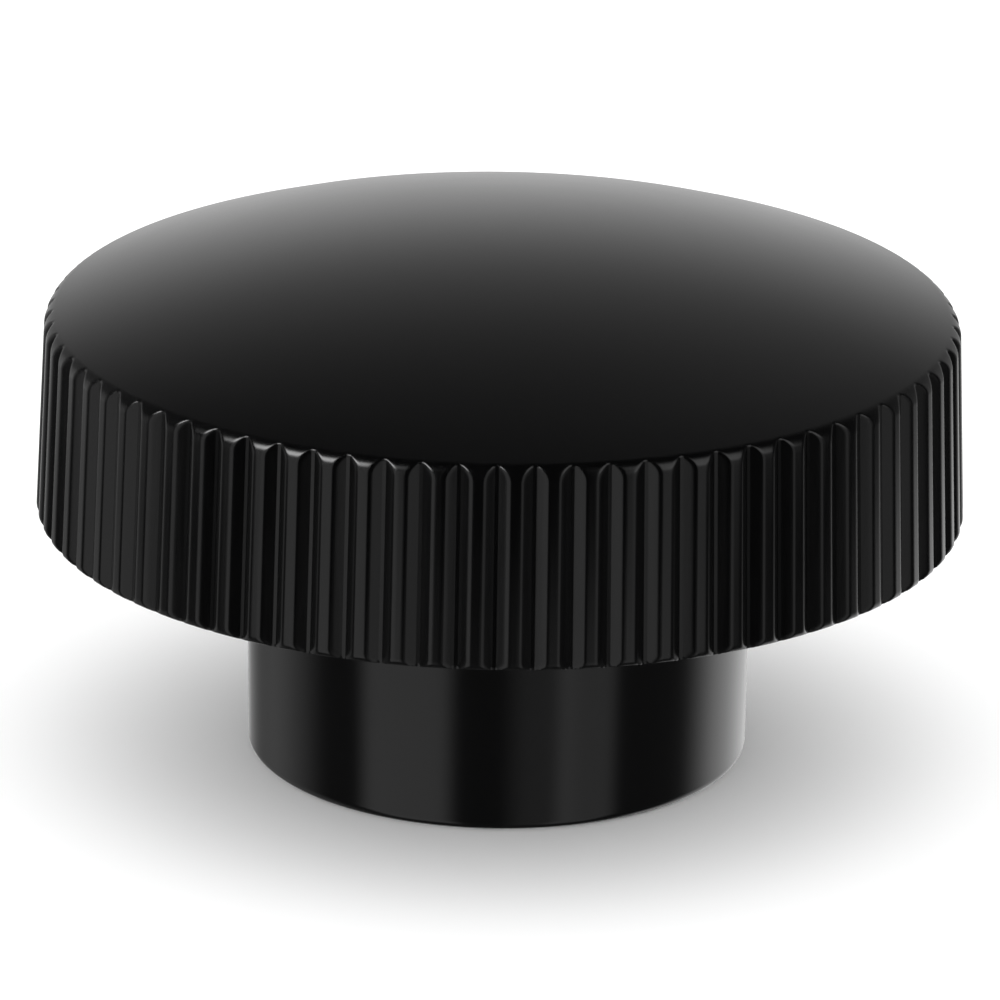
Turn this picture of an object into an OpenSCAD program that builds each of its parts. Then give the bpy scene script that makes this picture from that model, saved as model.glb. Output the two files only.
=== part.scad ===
// Knurled clamping knob: a head with a domed top and a straight-knurled rim stands on a plain hub,
// and a tapped brass insert is moulded into the hub.
// The origin is the centre of the hub's end face, and +Z points up to the domed top.

/* [Head] */
// Radius over the teeth at the rim's lower edge
head_r = 25; // [22:0.5:32]
// How much smaller that radius is at the rim's upper edge
rim_draft = 0.45; // [0.1:0.05:0.8]
// Height of the knurled rim
rim_h = 10.9; // [8:0.1:14]
// Rise of the domed top above the rim
dome_rise = 4.75; // [3:0.05:6]
// Round between the rim and the dome, on which the grooves run out
top_edge_r = 1; // [0.7:0.1:1.5]
// Round on the rim's lower edge
low_edge_r = 0.5; // [0.2:0.05:0.7]

/* [Knurl] */
// Number of straight grooves around the rim
groove_n = 78; // [60:1:84]
// Depth of a groove below the teeth
groove_depth = 0.4; // [0.3:0.05:0.5]
// Width of a groove's flat root
root_w = 0.16; // [0.1:0.02:0.3]
// Angle between a groove's two flanks
flank_angle = 110; // [90:1:116]

/* [Hub] */
// Radius at the hub's end face
hub_r = 13.5; // [11:0.5:16]
// How much larger that radius is where the hub meets the head
hub_draft = 0.1; // [0.05:0.05:0.3]
// Height of the hub below the head
hub_h = 13.4; // [11:0.2:20]
// Round on the hub's end
hub_edge_r = 0.5; // [0.3:0.1:1]
// Fillet between the hub and the head
neck_r = 0.8; // [0.4:0.1:1.2]

/* [Insert] */
// Distance across the flats of the insert's hexagonal shank
shank_af = 14; // [13:0.5:15]
// Radius of the round collar at the insert's mouth
collar_r = 6.8; // [6.2:0.1:7.4]
// Length of the collar
collar_h = 3; // [2:0.5:5]
// Radius at the bottom of the retaining groove
retain_r = 6; // [5.6:0.1:6.1]
// Width of the retaining groove
retain_w = 2; // [1:0.5:3]
// Radius of the hole over the crests of its M10 thread
thread_r = 4.188; // [3.2:0.001:4.6]
// Depth of the hole to the end of its full wall
thread_depth = 13; // [9:0.5:15]
// Chamfer at the hole's mouth
mouth_chamfer = 1; // [0.5:0.1:1.2]
// Angle of the drill's point at the bottom of the hole
drill_angle = 118; // [90:1:140]
// Brass left above the drill's point
end_wall = 1.5; // [1:0.1:3]

/* [Hidden] */
$fn = 128;
SPILL = 1; // how far a cutter runs past the surface that it cuts
ARC_STEPS = 6;

rim_tilt = atan(rim_draft / rim_h);
rim_top_r = head_r - rim_draft;
apex_z = hub_h + rim_h + dome_rise;
dome_r = (rim_top_r * rim_top_r + dome_rise * dome_rise) / (2 * dome_rise);
dome_centre = [0, apex_z - dome_r];
neck_z = hub_h - neck_r;
drill_point_h = thread_r / tan(drill_angle / 2);
insert_h = thread_depth + drill_point_h + end_wall;

// Points along an arc, from one angle to another
function arc(centre, r, from, to) =
    [for (i = [0:ARC_STEPS]) let (a = from + (to - from) * i / ARC_STEPS) centre + r * [cos(a), sin(a)]];

// Centre of the rim's upper round, which touches the drafted side and the dome from within
function top_edge_centre() =
    let (up = [-sin(rim_tilt), cos(rim_tilt)])
    let (start = [head_r - top_edge_r / cos(rim_tilt), hub_h])
    let (w = start - dome_centre)
    let (along = -w * up + sqrt(pow(w * up, 2) - w * w + pow(dome_r - top_edge_r, 2)))
    start + along * up;

// Centre of the rim's lower round, which touches the drafted side and the flat underside
function low_edge_centre() =
    let (inset = low_edge_r * (1 + sin(rim_tilt)) / cos(rim_tilt))
    [head_r - inset, hub_h + low_edge_r];

// Half section of the moulding. Its last leg runs up past the dome, which a sphere then trims.
function outline() =
    let (top_centre = top_edge_centre())
    let (dome_angle = atan2(top_centre[1] - dome_centre[1], top_centre[0]))
    let (top_round = arc(top_centre, top_edge_r, rim_tilt, dome_angle))
    let (last_leg = top_round[ARC_STEPS] - top_round[ARC_STEPS - 1])
    concat(
        [[0, 0]],
        arc([hub_r - hub_edge_r, hub_edge_r], hub_edge_r, -90, 0),
        arc([hub_r + hub_draft + neck_r, neck_z], neck_r, 180, 90),
        arc(low_edge_centre(), low_edge_r, -90, rim_tilt),
        top_round,
        [top_round[ARC_STEPS] + SPILL * last_leg / norm(last_leg)],
        [[0, apex_z + SPILL]]
    );

// One V-shaped cutter, which follows the rim's draft and comes out through the rim's upper round
module groove_cutter() {
    reach = groove_depth / 2; // keeps each cutter clear of its neighbours
    half_mouth = root_w / 2 + (groove_depth + reach) * tan(flank_angle / 2);
    translate([head_r, 0, hub_h])
        rotate([0, -rim_tilt, 0])
            translate([0, 0, -SPILL])
                linear_extrude(height = rim_h + dome_rise + SPILL)
                    polygon([
                        [-groove_depth, -root_w / 2],
                        [reach, -half_mouth],
                        [reach, half_mouth],
                        [-groove_depth, root_w / 2]
                    ]);
}

// Outside of the insert, with the collar run on below the hub's end face by the given length
module insert_envelope(below = 0) {
    translate([0, 0, -below])
        cylinder(r = collar_r, h = collar_h + below);
    difference() {
        translate([0, 0, collar_h])
            cylinder(r = shank_af / 2 / cos(30), h = insert_h - collar_h, $fn = 6);
        translate([0, 0, (collar_h + insert_h - retain_w) / 2])
            difference() {
                cylinder(r = shank_af, h = retain_w);
                cylinder(r = retain_r, h = retain_w);
            }
    }
}

// Blind hole with a chamfered mouth and the cone that a drill leaves
module tapped_hole() {
    rotate_extrude()
        polygon([
            [0, -SPILL],
            [thread_r + mouth_chamfer + SPILL, -SPILL],
            [thread_r, mouth_chamfer],
            [thread_r, thread_depth],
            [0, thread_depth + drill_point_h]
        ]);
}

module knob_body() {
    color([0.07, 0.07, 0.075])
        difference() {
            intersection() {
                rotate_extrude()
                    polygon(outline());
                translate([0, 0, dome_centre[1]])
                    sphere(r = dome_r);
            }
            for (i = [0:groove_n - 1])
                rotate(360 * i / groove_n)
                    groove_cutter();
            insert_envelope(SPILL);
        }
}

module threaded_insert() {
    color([0.78, 0.62, 0.3])
        difference() {
            insert_envelope();
            tapped_hole();
        }
}

knob_body();
threaded_insert();
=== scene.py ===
"""Looks of the knurled knob: the black moulding with its rounded knurl, and the brass insert with its true thread."""
import math

import bmesh
import bpy
from mathutils import Matrix, Vector


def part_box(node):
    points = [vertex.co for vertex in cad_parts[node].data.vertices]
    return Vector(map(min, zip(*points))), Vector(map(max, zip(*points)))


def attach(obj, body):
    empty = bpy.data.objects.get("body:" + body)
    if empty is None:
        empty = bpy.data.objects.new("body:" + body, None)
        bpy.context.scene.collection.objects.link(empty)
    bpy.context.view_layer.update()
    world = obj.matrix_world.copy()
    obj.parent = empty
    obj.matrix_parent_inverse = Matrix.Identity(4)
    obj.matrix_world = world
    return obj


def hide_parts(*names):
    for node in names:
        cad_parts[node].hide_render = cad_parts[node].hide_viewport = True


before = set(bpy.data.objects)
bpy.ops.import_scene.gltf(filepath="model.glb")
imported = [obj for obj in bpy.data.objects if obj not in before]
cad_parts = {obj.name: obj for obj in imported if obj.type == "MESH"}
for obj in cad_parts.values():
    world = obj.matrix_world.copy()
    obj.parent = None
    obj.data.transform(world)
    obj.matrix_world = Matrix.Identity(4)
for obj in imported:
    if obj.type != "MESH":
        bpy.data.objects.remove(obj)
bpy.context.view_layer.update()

MM = 0.001

# The moulding, in metres, as the CAD has it. Heights are above the hub's end face.
BODY_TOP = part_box("knob_body")[1].z
HEAD_R = 24.98 * MM
RIM_DRAFT = 0.45 * MM
RIM_H = 10.9 * MM
DOME_RISE = 4.75 * MM
TOP_EDGE_R = 1.0 * MM
LOW_EDGE_R = 0.5 * MM
RIM_TOP_Z = BODY_TOP - DOME_RISE
UNDERSIDE_Z = RIM_TOP_Z - RIM_H
RIM_TILT = math.atan(RIM_DRAFT / RIM_H)
DOME_R = ((HEAD_R - RIM_DRAFT)**2 + DOME_RISE**2) / (2 * DOME_RISE)
DOME_CENTRE_Z = BODY_TOP - DOME_R
HUB_R = 13.5 * MM
HUB_TOP_R = 13.6 * MM
HUB_EDGE_R = 0.5 * MM
NECK_R = 0.8 * MM
DOME_RINGS = 9

# The knurl. Half a pitch is cut into equal steps, counted from the middle of a groove.
GROOVES = 78
HALF_STEPS = 10
STEP_ANGLE = math.pi / GROOVES / HALF_STEPS
GROOVE_DEPTH = 0.4 * MM
ROOT_STEPS = 1
FLANK_SLOPE = math.tan(math.radians(35))
GROOVE_BLEND = 0.09 * MM

# The insert, in metres.
INSERT_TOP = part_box("threaded_insert")[1].z
COLLAR_R = 6.8 * MM
COLLAR_H = 3.0 * MM
SHANK_AF = 14.0 * MM
RETAIN_R = 6.0 * MM
RETAIN_W = 2.0 * MM
THREAD_MINOR_R = 4.188 * MM
THREAD_MAJOR_R = 5.0 * MM
THREAD_PITCH = 1.5 * MM
THREAD_DEPTH = 13.0 * MM
THREAD_TURNS = 9
MOUTH_CHAMFER = 1.0 * MM


# ---------------------------------------------------------------- modelling helpers

def deselect_all():
    if bpy.context.object and bpy.context.object.mode != "OBJECT":
        bpy.ops.object.mode_set(mode="OBJECT")
    bpy.ops.object.select_all(action="DESELECT")


def select_where(test):
    """In edit mode, selects just the vertices whose place passes the test, and what lies between them."""
    mesh = bmesh.from_edit_mesh(bpy.context.object.data)
    bpy.ops.mesh.select_all(action="DESELECT")
    for vertex in mesh.verts:
        if test(vertex.co):
            vertex.select = True
    mesh.select_flush(True)
    bmesh.update_edit_mesh(bpy.context.object.data)


def select_level(height):
    select_where(lambda co: abs(co.z - height) < 0.001 * MM)


def resize_round(radius, now):
    """Scales what is selected about the Z axis, from the radius that it has now."""
    bpy.ops.transform.resize(value=(radius / now, radius / now, 1), center_override=(0, 0, 0))


def extrude_ring(radius, height, now):
    """In edit mode, extrudes the selected ring, which is a circle now, to another radius and height."""
    bpy.ops.mesh.extrude_region_move(TRANSFORM_OT_translate={"value": (0, 0, height - now[1])})
    resize_round(radius, now[0])
    return radius, height


def close_ring():
    """In edit mode, closes the selected ring with a fan to its centre."""
    bpy.ops.mesh.extrude_region_move()
    bpy.ops.mesh.merge(type="CENTER")


def tidy_shell(angle):
    """In edit mode, merges doubles and turns the faces outwards, then shades the piece."""
    bpy.ops.mesh.select_all(action="SELECT")
    bpy.ops.mesh.remove_doubles(threshold=0.001 * MM)
    bpy.ops.mesh.normals_make_consistent(inside=False)
    bpy.ops.object.mode_set(mode="OBJECT")
    bpy.ops.object.shade_smooth_by_angle(angle=math.radians(angle))


def arc(centre, radius, start, end, steps):
    """Points on an arc of the half section, as (radius, height), from one angle in degrees to another."""
    angles = [math.radians(start + (end - start) * i / steps) for i in range(steps + 1)]
    return [(centre[0] + radius * math.cos(a), centre[1] + radius * math.sin(a)) for a in angles]


def smooth_lower(first, second, blend):
    """The lower of two numbers, with a rounded change from one to the other."""
    mix = min(max(0.5 + 0.5 * (second - first) / blend, 0), 1)
    return second + (first - second) * mix - blend * mix * (1 - mix)


# ---------------------------------------------------------------- the moulding

def dome_height(radius):
    return DOME_CENTRE_Z + math.sqrt(DOME_R**2 - radius**2)


def wall_radius(height):
    """Radius of the drafted side, over the teeth."""
    return HEAD_R - RIM_DRAFT * (height - UNDERSIDE_Z) / RIM_H


def groove_surface(step, height):
    """Radius of a groove's V, which goes on out past the teeth, a number of steps from its middle."""
    across = max(step - ROOT_STEPS, 0) * STEP_ANGLE * HEAD_R
    return wall_radius(height) - GROOVE_DEPTH + across * FLANK_SLOPE


def rim_outline():
    """The rim's half section over the teeth: the lower round, the drafted side and the upper round."""
    tilt = math.degrees(RIM_TILT)
    inset = LOW_EDGE_R * (1 + math.sin(RIM_TILT)) / math.cos(RIM_TILT)
    low = arc((HEAD_R - inset, UNDERSIDE_Z + LOW_EDGE_R), LOW_EDGE_R, -90, tilt, 5)
    height = RIM_TOP_Z
    for _ in range(20):
        radius = wall_radius(height) - TOP_EDGE_R / math.cos(RIM_TILT)
        height = DOME_CENTRE_Z + math.sqrt((DOME_R - TOP_EDGE_R)**2 - radius**2)
    dome_angle = math.degrees(math.atan2(height - DOME_CENTRE_Z, radius))
    return low + arc((radius, height), TOP_EDGE_R, tilt, dome_angle, 11)


def shape_ring(radius, height, now):
    """In edit mode, gives the ring at a height its groove, step by step. Returns its radius at each step."""
    shaped = []
    for step in range(HALF_STEPS + 1):
        target = smooth_lower(radius, groove_surface(step, height), GROOVE_BLEND)
        select_where(lambda co: abs(co.z - height) < 0.001 * MM
                     and round(abs(math.atan2(co.y, co.x)) / STEP_ANGLE) == step)
        resize_round(target, now[step])
        shaped.append(target)
    select_level(height)
    return shaped


def make_pitch(outline):
    """One groove between the middles of two teeth, from the rim's lower edge to the dome."""
    radius, height = outline[0]
    bpy.ops.mesh.primitive_circle_add(vertices=2 * HALF_STEPS * GROOVES, radius=radius,
                                      rotation=(0, 0, math.pi / 2))
    bpy.ops.object.transform_apply(rotation=True)
    bpy.ops.object.mode_set(mode="EDIT")
    select_where(lambda co: abs(math.atan2(co.y, co.x)) > (HALF_STEPS + 0.5) * STEP_ANGLE)
    bpy.ops.mesh.delete(type="VERT")
    bpy.ops.mesh.select_all(action="SELECT")
    bpy.ops.transform.translate(value=(0, 0, height))
    now = shape_ring(radius, height, [radius] * (HALF_STEPS + 1))
    for point in outline[1:]:
        bpy.ops.mesh.extrude_region_move(TRANSFORM_OT_translate={"value": (0, 0, point[1] - height)})
        radius, height = point
        now = shape_ring(radius, height, now)


def repeat_pitch():
    """Copies the pitch around the axis and joins the copies."""
    bpy.ops.mesh.select_all(action="SELECT")
    bpy.ops.mesh.spin(steps=GROOVES - 1, dupli=True, angle=2 * math.pi * (GROOVES - 1) / GROOVES,
                      center=(0, 0, 0), axis=(0, 0, 1))
    bpy.ops.mesh.select_all(action="SELECT")
    bpy.ops.mesh.remove_doubles(threshold=0.01 * MM)


def make_dome(edge):
    """The domed top, drawn in ring by ring from the rim's upper round."""
    select_level(edge[1])
    now = edge
    for i in range(1, DOME_RINGS):
        radius = edge[0] * (1 - i / DOME_RINGS)
        now = extrude_ring(radius, dome_height(radius), now)
    close_ring()
    select_where(lambda co: co.to_2d().length < 0.001 * MM)
    bpy.ops.transform.translate(value=(0, 0, BODY_TOP - now[1]))


def make_underside(edge):
    """The flat underside, the neck's fillet, the hub and its rounded end."""
    select_level(edge[1])
    neck = arc((HUB_TOP_R + NECK_R, UNDERSIDE_Z - NECK_R), NECK_R, 90, 180, 6)
    end = arc((HUB_R - HUB_EDGE_R, HUB_EDGE_R), HUB_EDGE_R, 0, -90, 5)
    now = edge
    bpy.ops.mesh.extrude_region_move()
    flat = (23.9 * MM, UNDERSIDE_Z)
    resize_round(flat[0], now[0])
    now = flat
    # a ring close to each round keeps the shading of the flat beside it flat
    for point in [(neck[0][0] + 0.2 * MM, UNDERSIDE_Z), *neck, *end, (end[-1][0] - 0.2 * MM, 0)]:
        now = extrude_ring(*point, now)
    close_ring()


def make_body():
    deselect_all()
    outline = rim_outline()
    make_pitch(outline)
    repeat_pitch()
    body = bpy.context.object
    body.name = "knob_moulding"
    make_dome(outline[-1])
    make_underside(outline[0])
    tidy_shell(30)
    return body


# ---------------------------------------------------------------- the insert

def add_cylinder(sides, radius, low, high, chamfer):
    """A chamfered cylinder or prism on the Z axis, with a corner towards +X, as a start for the insert."""
    deselect_all()
    bpy.ops.mesh.primitive_cylinder_add(vertices=sides, radius=radius, depth=high - low,
                                        location=(0, 0, (low + high) / 2), rotation=(0, 0, math.pi / 2))
    bpy.ops.object.transform_apply(location=True, rotation=True)
    bpy.ops.object.mode_set(mode="EDIT")
    for height in (low, high):
        select_level(height)
        bpy.ops.mesh.bevel(offset=chamfer, segments=1, affect="EDGES")
    bpy.ops.object.mode_set(mode="OBJECT")
    return bpy.context.object


def combine(piece, other, operation):
    """Joins another piece to this one, or cuts it out, and deletes the other."""
    deselect_all()
    modifier = piece.modifiers.new("combine", "BOOLEAN")
    modifier.operation = operation
    modifier.solver = "EXACT"
    modifier.object = other
    piece.select_set(True)
    bpy.context.view_layer.objects.active = piece
    bpy.ops.object.modifier_apply(modifier=modifier.name)
    bpy.data.objects.remove(other, do_unlink=True)


def make_hole_cutter():
    """The drilled hole with its mouth's chamfer and the cone of the drill's point."""
    deselect_all()
    start = (THREAD_MINOR_R + MOUTH_CHAMFER + 1.0 * MM, -1.0 * MM)
    bpy.ops.mesh.primitive_circle_add(vertices=96, radius=start[0], fill_type="NGON")
    bpy.ops.object.mode_set(mode="EDIT")
    bpy.ops.transform.translate(value=(0, 0, start[1]))
    now = extrude_ring(THREAD_MINOR_R, MOUTH_CHAMFER, start)
    now = extrude_ring(THREAD_MINOR_R, THREAD_DEPTH, now)
    point_h = THREAD_MINOR_R / math.tan(math.radians(59))
    bpy.ops.mesh.extrude_region_move(TRANSFORM_OT_translate={"value": (0, 0, point_h)})
    bpy.ops.mesh.merge(type="CENTER")
    tidy_shell(30)
    return bpy.context.object


def make_thread_cutter():
    """A 60 degree section swept up a right-handed helix."""
    deselect_all()
    inner_r = 4.1 * MM
    half_root = THREAD_PITCH / 16
    half_mouth = half_root + (THREAD_MAJOR_R - inner_r) * math.tan(math.radians(30))
    size = THREAD_MAJOR_R - inner_r
    start = -1.2 * MM
    bpy.ops.mesh.primitive_plane_add(size=size, location=((inner_r + THREAD_MAJOR_R) / 2, 0, start),
                                     rotation=(math.pi / 2, 0, 0))
    bpy.ops.object.transform_apply(location=True, rotation=True)
    bpy.ops.object.mode_set(mode="EDIT")
    for outer, half in ((False, half_mouth), (True, half_root)):
        select_where(lambda co: (co.x > inner_r + size / 2) == outer)
        bpy.ops.transform.resize(value=(1, 1, 2 * half / size), center_override=(0, 0, start))
    bpy.ops.object.mode_set(mode="OBJECT")
    cutter = bpy.context.object
    screw = cutter.modifiers.new("helix", "SCREW")
    screw.screw_offset = THREAD_PITCH
    screw.iterations = THREAD_TURNS
    screw.steps = 64
    screw.render_steps = 64
    bpy.ops.object.modifier_apply(modifier=screw.name)
    bpy.ops.object.mode_set(mode="EDIT")
    bpy.ops.mesh.select_all(action="SELECT")
    bpy.ops.mesh.remove_doubles(threshold=0.001 * MM)
    bpy.ops.mesh.fill_holes(sides=4)
    tidy_shell(30)
    return cutter


def make_envelope():
    """The outside of the insert: a collar, and a hexagonal shank with a retaining groove."""
    middle = (COLLAR_H + INSERT_TOP) / 2
    corner_r = SHANK_AF / 2 / math.cos(math.radians(30))
    insert = add_cylinder(96, COLLAR_R, 0, COLLAR_H + 0.6 * MM, 0.12 * MM)
    insert.name = "brass_insert"
    core = add_cylinder(96, RETAIN_R, 1.5 * MM, INSERT_TOP - 1.5 * MM, 0.1 * MM)
    combine(insert, core, "UNION")
    for low, high in ((COLLAR_H, middle - RETAIN_W / 2), (middle + RETAIN_W / 2, INSERT_TOP)):
        combine(insert, add_cylinder(6, corner_r, low, high, 0.2 * MM), "UNION")
    return insert


def make_insert(body):
    """The tapped brass insert, and its seat in the moulding around it."""
    combine(body, make_envelope(), "DIFFERENCE")
    insert = make_envelope()
    combine(insert, make_hole_cutter(), "DIFFERENCE")
    combine(insert, make_thread_cutter(), "DIFFERENCE")
    bpy.ops.object.mode_set(mode="EDIT")
    tidy_shell(30)
    return insert


# ---------------------------------------------------------------- shader wiring

class Wire:
    """An output socket. Python's operators on it add Math nodes."""

    def __init__(self, graph, socket):
        self.graph = graph
        self.socket = socket

    def _math(self, operation, *values):
        return self.graph.add("ShaderNodeMath", {"operation": operation}, dict(enumerate(values)))

    def __add__(self, other):
        return self._math("ADD", self, other)

    def __radd__(self, other):
        return self._math("ADD", other, self)

    def __sub__(self, other):
        return self._math("SUBTRACT", self, other)

    def __rsub__(self, other):
        return self._math("SUBTRACT", other, self)

    def __mul__(self, other):
        return self._math("MULTIPLY", self, other)

    def __rmul__(self, other):
        return self._math("MULTIPLY", other, self)

    def __truediv__(self, other):
        return self._math("DIVIDE", self, other)

    def __abs__(self):
        return self._math("ABSOLUTE", self)

    def power(self, other):
        return self._math("POWER", self, other)


class Graph:
    """A node tree, to which add() adds nodes."""

    def __init__(self, tree):
        self.tree = tree
        self.tree.nodes.clear()

    def add(self, kind, settings=None, inputs=None, out=0):
        """Adds a node of a kind, sets it, feeds its sockets, and returns one of its outputs."""
        node = self.tree.nodes.new(kind)
        for name, value in (settings or {}).items():
            if name == "stops":
                ramp = node.color_ramp
                while len(ramp.elements) < len(value):
                    ramp.elements.new(0.5)
                for element, (position, colour) in zip(ramp.elements, value):
                    element.position = position
                    element.color = colour
            else:
                setattr(node, name, value)
        for name, value in (inputs or {}).items():
            if isinstance(value, Wire):
                self.tree.links.new(value.socket, node.inputs[name])
            else:
                node.inputs[name].default_value = value
        return Wire(self, node.outputs[out]) if node.outputs else node

    def smooth(self, value, low, high, to_low=0.0, to_high=1.0):
        """Goes smoothly from one number to another as the value goes from low to high."""
        return self.add("ShaderNodeMapRange", {"interpolation_type": "SMOOTHSTEP"}, {
            "Value": value, "From Min": low, "From Max": high, "To Min": to_low, "To Max": to_high})


def new_material(name):
    material = bpy.data.materials.new(name)
    material.use_nodes = True
    return material, Graph(material.node_tree)


def black_plastic():
    """Black moulded plastic: satin on the dome, a little rougher in the knurl and glossier on the hub."""
    material, graph = new_material("moulded_black_plastic")
    place = graph.add("ShaderNodeTexCoord", out="Object")
    z = graph.add("ShaderNodeSeparateXYZ", None, {0: place}, out="Z")
    on_hub = graph.smooth(z, UNDERSIDE_Z - 0.2 * MM, UNDERSIDE_Z + 0.1 * MM, 1, 0)
    on_dome = graph.smooth(z, RIM_TOP_Z - 0.2 * MM, RIM_TOP_Z + 0.2 * MM)
    on_rim = (1 - on_hub) * (1 - on_dome)
    clouds = graph.add("ShaderNodeTexNoise", None, {"Vector": place, "Scale": 90.0, "Detail": 3.0})
    grain = graph.add("ShaderNodeTexNoise", None, {"Vector": place, "Scale": 5200.0, "Detail": 2.0})
    drawn = graph.add("ShaderNodeMapping", None, {"Vector": place, "Scale": (4200.0, 4200.0, 260.0)})
    streaks = graph.add("ShaderNodeTexNoise", None, {"Vector": drawn, "Scale": 1.0, "Detail": 3.0})
    roughness = 0.24 - on_rim * 0.03 - on_hub * 0.1 + (clouds - 0.5) * 0.04 + on_rim * (streaks - 0.5) * 0.1
    height = grain * 0.25 + on_rim * streaks * 0.7
    normal = graph.add("ShaderNodeBump", None, {"Strength": 0.12, "Distance": 0.02 * MM, "Height": height},
                       out="Normal")
    surface = graph.add("ShaderNodeBsdfPrincipled", None, {
        "Base Color": (0.0008, 0.0008, 0.0009, 1), "Roughness": roughness, "Normal": normal, "IOR": 1.5})
    graph.add("ShaderNodeOutputMaterial", None, {"Surface": surface})
    return material


def turned_brass():
    """Brass straight from the lathe, with fine rings."""
    material, graph = new_material("turned_brass")
    place = graph.add("ShaderNodeTexCoord", out="Object")
    x = graph.add("ShaderNodeSeparateXYZ", None, {0: place}, out="X")
    y = graph.add("ShaderNodeSeparateXYZ", None, {0: place}, out="Y")
    radius = (x * x + y * y).power(0.5)
    rings = graph.add("ShaderNodeTexNoise", {"noise_dimensions": "1D"}, {"W": radius, "Scale": 9000.0, "Detail": 2.0})
    normal = graph.add("ShaderNodeBump", None, {"Strength": 0.2, "Distance": 0.02 * MM, "Height": rings},
                       out="Normal")
    surface = graph.add("ShaderNodeBsdfPrincipled", None, {
        "Base Color": (0.72, 0.52, 0.24, 1), "Metallic": 1.0, "Roughness": 0.2 + rings * 0.16, "Normal": normal})
    graph.add("ShaderNodeOutputMaterial", None, {"Surface": surface})
    return material


# ---------------------------------------------------------------- studio

CAMERA_DISTANCE = 500.0 * MM
CAMERA_TARGET_Z = 13.8 * MM
CAMERA_ELEVATION = 19.98
CAMERA_AZIMUTH = -1.9
CAMERA_ROLL = 0.88
CAMERA_LENS = 333.9


def make_camera():
    target = Vector((0, 0, CAMERA_TARGET_Z))
    azimuth, elevation = math.radians(CAMERA_AZIMUTH), math.radians(CAMERA_ELEVATION)
    back = Vector((math.sin(azimuth) * math.cos(elevation), -math.cos(azimuth) * math.cos(elevation),
                   math.sin(elevation)))
    camera = bpy.data.objects.new("camera", bpy.data.cameras.new("camera"))
    camera.data.lens = CAMERA_LENS
    camera.location = target + back * CAMERA_DISTANCE
    camera.rotation_mode = "QUATERNION"
    roll = (-back).to_track_quat("-Z", "Y").to_matrix().to_4x4()
    camera.rotation_quaternion = (roll @ Matrix.Rotation(math.radians(CAMERA_ROLL), 4, "Z")).to_quaternion()
    bpy.context.scene.collection.objects.link(camera)
    bpy.context.scene.camera = camera


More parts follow.
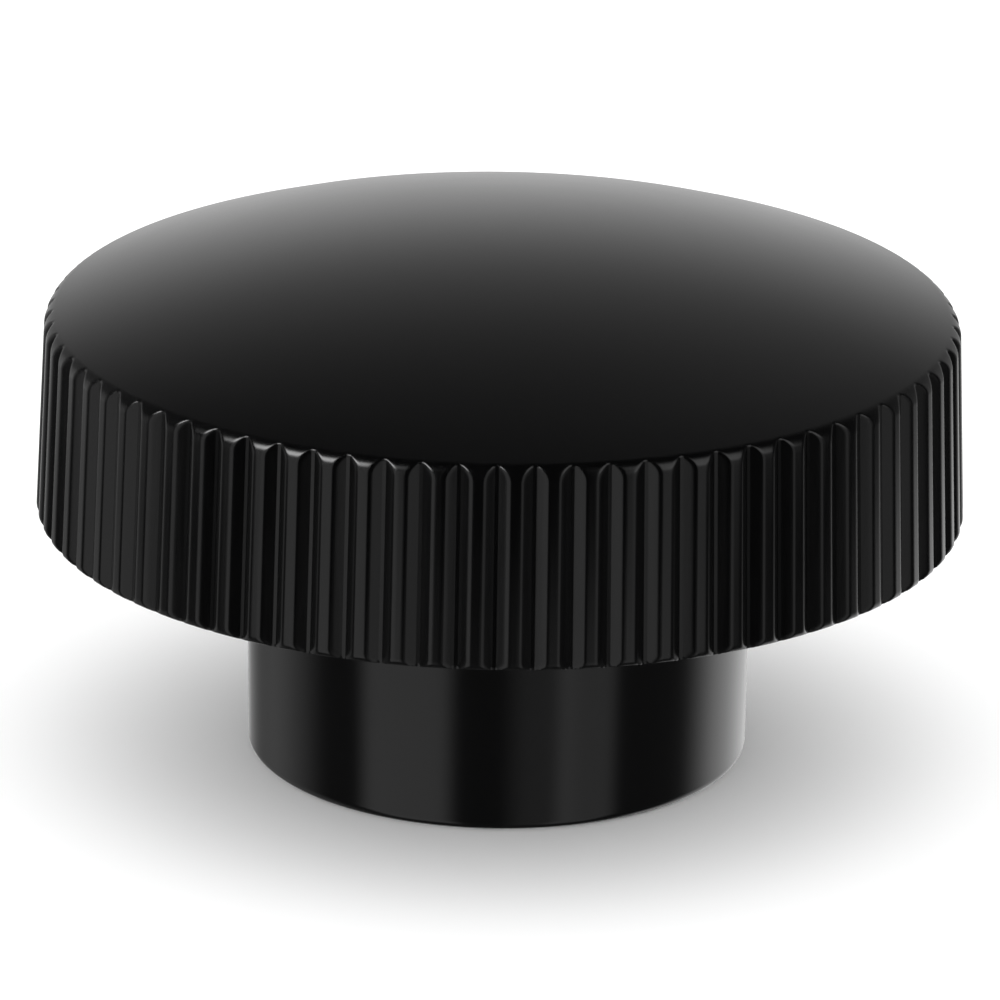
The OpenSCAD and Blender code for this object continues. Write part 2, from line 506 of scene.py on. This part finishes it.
def make_world():
    """A dark studio with a lit backdrop and soft panels at the sides, and plain white to the camera."""
    world = bpy.data.worlds.new("studio")
    bpy.context.scene.world = world
    world.use_nodes = True
    graph = Graph(world.node_tree)
    way = graph.add("ShaderNodeTexCoord", out="Generated")
    x = graph.add("ShaderNodeSeparateXYZ", None, {0: way}, out="X")
    y = graph.add("ShaderNodeSeparateXYZ", None, {0: way}, out="Y")
    z = graph.add("ShaderNodeSeparateXYZ", None, {0: way}, out="Z")
    degrees = 180 / math.pi
    azimuth = x._math("ARCTAN2", x, y) * degrees
    elevation = z._math("ARCSINE", z) * degrees

    def panel(centre, half, soft, light, low, high, edge=8.0):
        """A soft panel, centred on an azimuth, between two elevations. Azimuth 0 is behind the knob."""
        across = graph.smooth(abs(azimuth - centre), half - soft, half + soft, 1, 0)
        up = graph.smooth(elevation, low - edge, low + edge)
        down = graph.smooth(elevation, high - edge, high + edge, 1, 0)
        return across * up * down * light

    fall = graph.add("ShaderNodeValToRGB", {"stops": [
        (0.0, (0.96, 0.96, 0.96, 1)), (0.1, (0.88, 0.88, 0.88, 1)), (0.18, (0.72, 0.72, 0.72, 1)),
        (0.233, (0.58, 0.58, 0.58, 1)), (0.3, (0.4, 0.4, 0.4, 1)), (0.389, (0.3, 0.3, 0.3, 1)),
        (0.444, (0.21, 0.21, 0.21, 1)), (0.578, (0.115, 0.115, 0.115, 1)), (0.644, (0.09, 0.09, 0.09, 1)),
        (1.0, (0.025, 0.025, 0.025, 1))]}, {"Fac": elevation * (1 / 90)})
    aside = abs(azimuth)
    light = fall * graph.smooth(aside, 0, 36, 1.22, 0.44) * graph.smooth(aside, 35, 95, 1, 0)
    light = light * graph.smooth(elevation, -50, -28) * (1 - panel(-30, 25, 12, 0.55, -80, -18, 3))
    # soft panels near the floor
    light = light + panel(46, 25, 15, 0.95, -60, -19, 4)
    light = light + panel(-62, 20, 10, 0.17, -60, 0)
    light = light + panel(-134, 22, 6, 0.75, -60, 25)
    light = light + panel(138, 14, 5, 0.52, -60, 25)
    light = light + panel(160, 14, 8, 0.25, -60, -20, 2) + graph.smooth(elevation, -22, -19, 0.08, 0)
    # low ones at both sides, above the hub's reflections
    light = light + panel(112, 15, 7, 0.27, -15, 20, 3) + panel(-72, 34, 8, 0.3, -15, 12, 3)
    # a broad faint one, high behind on the right
    light = light + panel(32, 18, 12, 0.09, 34, 62)
    # a strong softbox at the front left, and a faint one at the front right
    light = light + panel(125, 20, 8, 1.5, 16, 50) + panel(-122, 20, 8, 12.0, 28, 48, 6)
    ray = {name: graph.add("ShaderNodeLightPath", out=name) for name in ("Is Camera Ray", "Is Diffuse Ray")}
    studio = graph.add("ShaderNodeBackground", None, {"Strength": light})
    around = graph.add("ShaderNodeBackground", None, {"Strength": 1.5, "Color": (1, 1, 1, 1)})
    seen = graph.add("ShaderNodeBackground", None, {"Strength": 1.0, "Color": (1, 1, 1, 1)})
    lit = graph.add("ShaderNodeMixShader", None, {0: ray["Is Diffuse Ray"], 1: studio, 2: around})
    both = graph.add("ShaderNodeMixShader", None, {0: ray["Is Camera Ray"], 1: lit, 2: seen})
    graph.add("ShaderNodeOutputWorld", None, {"Surface": both})
    world.cycles.sampling_method = "NONE"


def make_floor():
    deselect_all()
    bpy.ops.mesh.primitive_plane_add(size=8)
    floor = bpy.context.object
    floor.name = "floor"
    material, graph = new_material("pale_floor")
    surface = graph.add("ShaderNodeBsdfDiffuse", None, {"Color": (0.95, 0.95, 0.95, 1)})
    graph.add("ShaderNodeOutputMaterial", None, {"Surface": surface})
    floor.data.materials.append(material)
    floor.visible_glossy = False
    floor.visible_shadow = False


bpy.context.scene.view_settings.view_transform = "Standard"
make_camera()
make_world()
make_floor()

body = make_body()
body.data.materials.append(black_plastic())
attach(body, "root")
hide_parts("knob_body")

insert = make_insert(body)
insert.data.materials.append(turned_brass())
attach(insert, "root")
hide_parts("threaded_insert")
